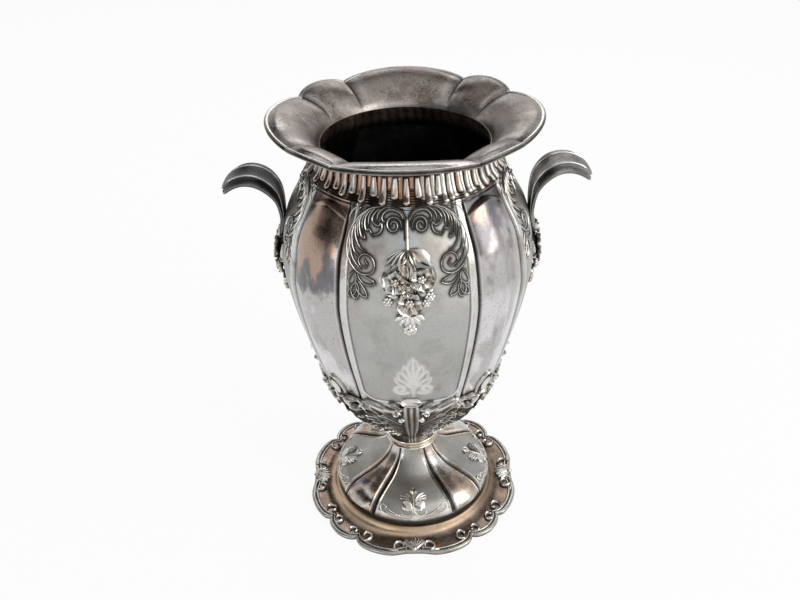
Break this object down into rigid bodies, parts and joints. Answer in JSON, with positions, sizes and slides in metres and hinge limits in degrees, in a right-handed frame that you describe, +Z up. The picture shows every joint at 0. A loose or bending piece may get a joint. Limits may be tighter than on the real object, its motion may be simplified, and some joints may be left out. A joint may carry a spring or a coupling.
{
  "type": "two-handled vase",
  "caption": "Lobed two-handled metal vase: flared petal mouth, reeded neck, chased panelled body with cast flowers, knop and domed foot on a lobed plate.",
  "frame": {"origin": "middle of the surface that the foot plate stands on", "axes": "+Z up along the vase, front panel faces -Y, handles on +X and -X"},
  "size_m": [0.2252, 0.1748, 0.2996],
  "materials": {
    "polished_silver": "polished silver with brown and violet tarnish",
    "matted_silver": "finely matted silver, grey",
    "tarnished_silver": "polished silver under brown-grey tarnish, speckled",
    "reeded_silver": "reeded silver, dark in the hollows, partly coppery",
    "edge_silver": "worn bright silver wire",
    "cast_silver": "cast silver, dark in the hollows and bright on the edges",
    "dark_silver": "dark grey tarnished silver",
    "foot_plate_gilt": "worn silver over brass, brown and gold",
    "knop_brass": "polished brass, worn",
    "plain_steel": "plain steel"
  },
  "bodies": {
    "root": {"foot_plate": "foot_plate_gilt", "foot_border": "cast_silver", "foot_collar": "dark_silver", "foot_dome": "matted_silver", "tie_stud": "plain_steel", "foot_washer": "plain_steel", "foot_nut": "plain_steel", "knop_ring": "knop_brass", "body_shell": "polished_silver", "neck_band": "reeded_silver", "mouth_flare": "tarnished_silver", "rim_wire": "edge_silver", "handle_left": "dark_silver", "handle_right": "dark_silver", "bouquet_front": "cast_silver", "calyx_leaf_front": "cast_silver", "bouquet_right": "cast_silver", "calyx_leaf_right": "cast_silver", "bouquet_back": "cast_silver", "calyx_leaf_back": "cast_silver", "bouquet_left": "cast_silver", "calyx_leaf_left": "cast_silver", "calyx_loop_front_right": "cast_silver", "calyx_loop_back_right": "cast_silver", "calyx_loop_back_left": "cast_silver", "calyx_loop_front_left": "cast_silver"}
  },
  "joints": []
}
